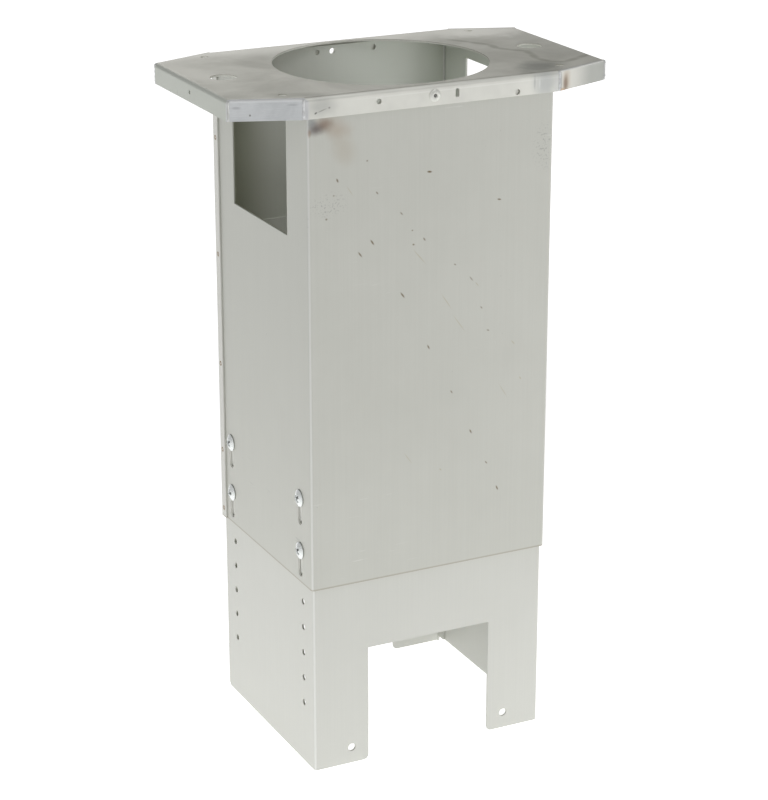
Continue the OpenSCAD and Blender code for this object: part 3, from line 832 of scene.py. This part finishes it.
def make_screw(side, end, level, turn):
    name = "clamp_screw_" + side + "_" + end + "_" + level
    lo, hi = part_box(name)
    flip = -1 if side == "left" else 1
    y0, z0 = (lo.y + hi.y) / 2, (lo.z + hi.z) / 2
    tip_x, top_x = (lo.x, hi.x) if side == "right" else (hi.x, lo.x)
    under_x = top_x - flip * HEAD_H
    c, s = math.cos(turn), math.sin(turn)

    def frame_at(u, v, height):
        return (under_x + flip * height, y0 + u * c - v * s, z0 + u * s + v * c)

    rings = []
    for i in range(HEAD_RINGS):
        radius = INNER_R + (HEAD_R - INNER_R) * i / (HEAD_RINGS - 1)
        rings.append(lambda a, r=radius: (r, dome(r) - recess(r * math.cos(a), r * math.sin(a))))
    rings += [(HEAD_R, 0.00045), (HEAD_R - 0.00025, 0.00008), (HEAD_R - 0.0006, 0.0)]
    rings += [(SHANK_R + 0.0003, 0.0), (SHANK_R, -0.0003), (SHANK_R, -0.0006)]
    long = abs(tip_x - under_x)
    for i in range(1, THREAD_RINGS + 1):
        depth = 0.0006 + (long - 0.0008) * i / THREAD_RINGS

        def crest(a, depth=depth):
            phase = (depth / THREAD_PITCH - a / (2 * math.pi)) % 1.0
            height = 1 - abs(2 * phase - 1)
            fade = smooth_step(depth, 0.0006, 0.002)
            fade *= 1 - smooth_step(depth, long - 0.0022, long)
            radius = ROOT_R + (SHANK_R - ROOT_R) * (1 - fade * (1 - height))
            radius -= 0.0008 * smooth_step(depth, long - 0.0016, long)
            return (radius, -depth)

        rings.append(crest)
    rings.append((0.0014, -long))
    bm = bmesh.new()
    spin(bm, frame_at, rings, 96)
    piece = make_piece("detailed_" + name, bm, screw_zinc, LOWER, 50.0)
    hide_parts(name)


turns = random.Random(11)
for side in ("left", "right"):
    for end in ("front", "rear"):
        for level in ("low", "high"):
            make_screw(side, end, level, turns.uniform(0.0, math.pi / 2))


# The front lip's low hole, which goes on through the front wall
LOW_HOLE_X, LOW_HOLE_Z = 0.0692, 0.5257


def make_low_hole_stub():
    """Cut-off screw end that closes the front wall behind the lip's low hole."""
    def frame_at(u, v, height):
        return (LOW_HOLE_X + u, FRONT_Y - height, LOW_HOLE_Z + v)

    rings = [(0.0002, 0.00035), (0.001, 0.0003), (0.0016, 0.00015), (0.0019, -0.00005)]
    rings += [(0.00205, -0.0004), (0.00205, -0.0013), (0.0026, -0.00155), (0.0026, -0.0026)]
    rings += [(0.0016, -0.003), (0.0003, -0.0031)]
    bm = bmesh.new()
    spin(bm, frame_at, rings, 40)
    make_piece("low_hole_stub", bm, rivet_zinc, UPPER, 50.0)


make_low_hole_stub()


def make_rivet():
    """Blind rivet through the front lip: low head, mandrel stub in its bore, bulb behind."""
    x0, z0 = (rivet_lo.x + rivet_hi.x) / 2, (rivet_lo.z + rivet_hi.z) / 2
    head_r = (rivet_hi.x - rivet_lo.x) / 2
    rise = LIP_Y - rivet_lo.y
    deep = rivet_hi.y - LIP_Y

    def frame_at(u, v, height):
        return (x0 + u, LIP_Y - height, z0 + v)

    rings = [(0.0002, rise * 0.62), (0.0007, rise * 0.6), (0.00095, rise * 0.5)]
    rings += [(0.00105, rise * 0.34), (0.0013, rise * 0.34), (0.00145, rise * 0.8)]
    rings += [(0.0017, rise * 0.97), (0.0021, rise), (head_r * 0.62, rise * 0.93)]
    rings += [(head_r * 0.8, rise * 0.74), (head_r * 0.93, rise * 0.44)]
    rings += [(head_r * 0.985, rise * 0.24), (head_r, rise * 0.12), (head_r * 0.985, 0.0)]
    rings += [(0.0026, 0.0), (0.0024, -0.0002), (0.0024, -0.0033), (0.003, -0.0037)]
    rings += [(0.0033, -0.0047), (0.0033, -0.0058), (0.0028, -0.0066)]
    rings += [(0.0018, -deep), (0.0006, -deep)]
    bm = bmesh.new()
    spin(bm, frame_at, rings, 48)
    piece = make_piece("domed_lip_rivet", bm, rivet_zinc, UPPER, 50.0)
    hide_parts("lip_rivet")


make_rivet()


# ---------------------------------------------------------------- studio
CAMERA_PLACE = (-0.8155, -1.6523, 0.9298)
CAMERA_DOWN = 0.34584
CAMERA_TURN = -0.45985
LENS = 110.96
SENSOR = 36.0
# The floor's own glow: everywhere, more near the object, behind it and to its right
FLOOR_GLOW = 0.45
NEAR_GLOW = 0.45
BACK_GLOW = 0.32
RIGHT_GLOW = 0.2
WORLD_GLOW = 0.30
# Name, place, target, width, height, watts
LIGHTS = [
    ("right_near", (0.8, -0.7, 0.2), (0, 0, 0.15), 0.4, 0.4, 0.8),
    ("back_high", (0.4, 1.6, 1.5), (0, 0, 0.3), 1.2, 0.8, 5.5),
    ("left_high", (-1.6, -0.2, 1.3), (0, 0, 0.3), 0.9, 0.9, 4.5),
    ("top_front", (0.3, -0.9, 1.9), (0, 0, 0.4), 0.7, 0.7, 4.6),
    ("camera_side", (-0.62, -1.35, 0.75), (0, 0, 0.3), 0.35, 1.1, 0.38),
]


def make_camera():
    data = bpy.data.cameras.new("camera")
    data.lens = LENS
    data.sensor_width = SENSOR
    data.clip_start = 0.05
    data.clip_end = 60.0
    cam = bpy.data.objects.new("camera", data)
    cam.location = CAMERA_PLACE
    cam.rotation_euler = (math.pi / 2 - CAMERA_DOWN, 0.0, CAMERA_TURN)
    scene.collection.objects.link(cam)
    scene.camera = cam


def soft_light(name, place, target, width, height, watts):
    data = bpy.data.lights.new(name, "AREA")
    data.shape = "RECTANGLE"
    data.size = width
    data.size_y = height
    data.energy = watts
    light = bpy.data.objects.new(name, data)
    light.location = place
    aim = Vector(target) - Vector(place)
    light.rotation_euler = aim.to_track_quat("-Z", "Y").to_euler()
    light.visible_camera = False
    scene.collection.objects.link(light)


def make_floor():
    g = Graph("white_floor", 0.0, 0.9)
    tone = g.noise(3.0, detail=2.0)
    reach = g.add("ShaderNodeVectorMath", {0: g.point}, operation="LENGTH").outputs["Value"]
    glow = g.band(reach, 0.25, 0.9, FLOOR_GLOW + NEAR_GLOW, FLOOR_GLOW)
    glow = g.math("ADD", glow, g.band(g.y, 0.3, 1.2, 0.0, BACK_GLOW))
    glow = g.math("ADD", glow, g.band(g.x, 0.4, 0.9, 0.0, RIGHT_GLOW))
    g.put(g.shader.inputs["Emission Color"], (1, 1, 1, 1))
    g.put(g.shader.inputs["Emission Strength"], glow)
    g.finish(g.mix(tone, (0.8, 0.8, 0.8), (0.82, 0.82, 0.82)))
    bpy.ops.mesh.primitive_plane_add(size=24, location=(0, 0, -0.0002))
    floor = bpy.context.object
    floor.name = "floor"
    floor.data.materials.append(g.material)


make_camera()
for light in LIGHTS:
    soft_light(*light)
make_floor()
world = bpy.data.worlds.new("studio")
scene.world = world
world.use_nodes = True
sky = world.node_tree.nodes["Background"]
seen = world.node_tree.nodes.new("ShaderNodeLightPath")
sky_glow = world.node_tree.nodes.new("ShaderNodeMapRange")
sky_glow.inputs["To Min"].default_value = WORLD_GLOW
sky_glow.inputs["To Max"].default_value = 1.0
world.node_tree.links.new(seen.outputs["Is Camera Ray"], sky_glow.inputs["Value"])
world.node_tree.links.new(sky_glow.outputs[0], sky.inputs["Strength"])
sky.inputs["Color"].default_value = (1, 1, 1, 1)
scene.view_settings.view_transform = "Standard"
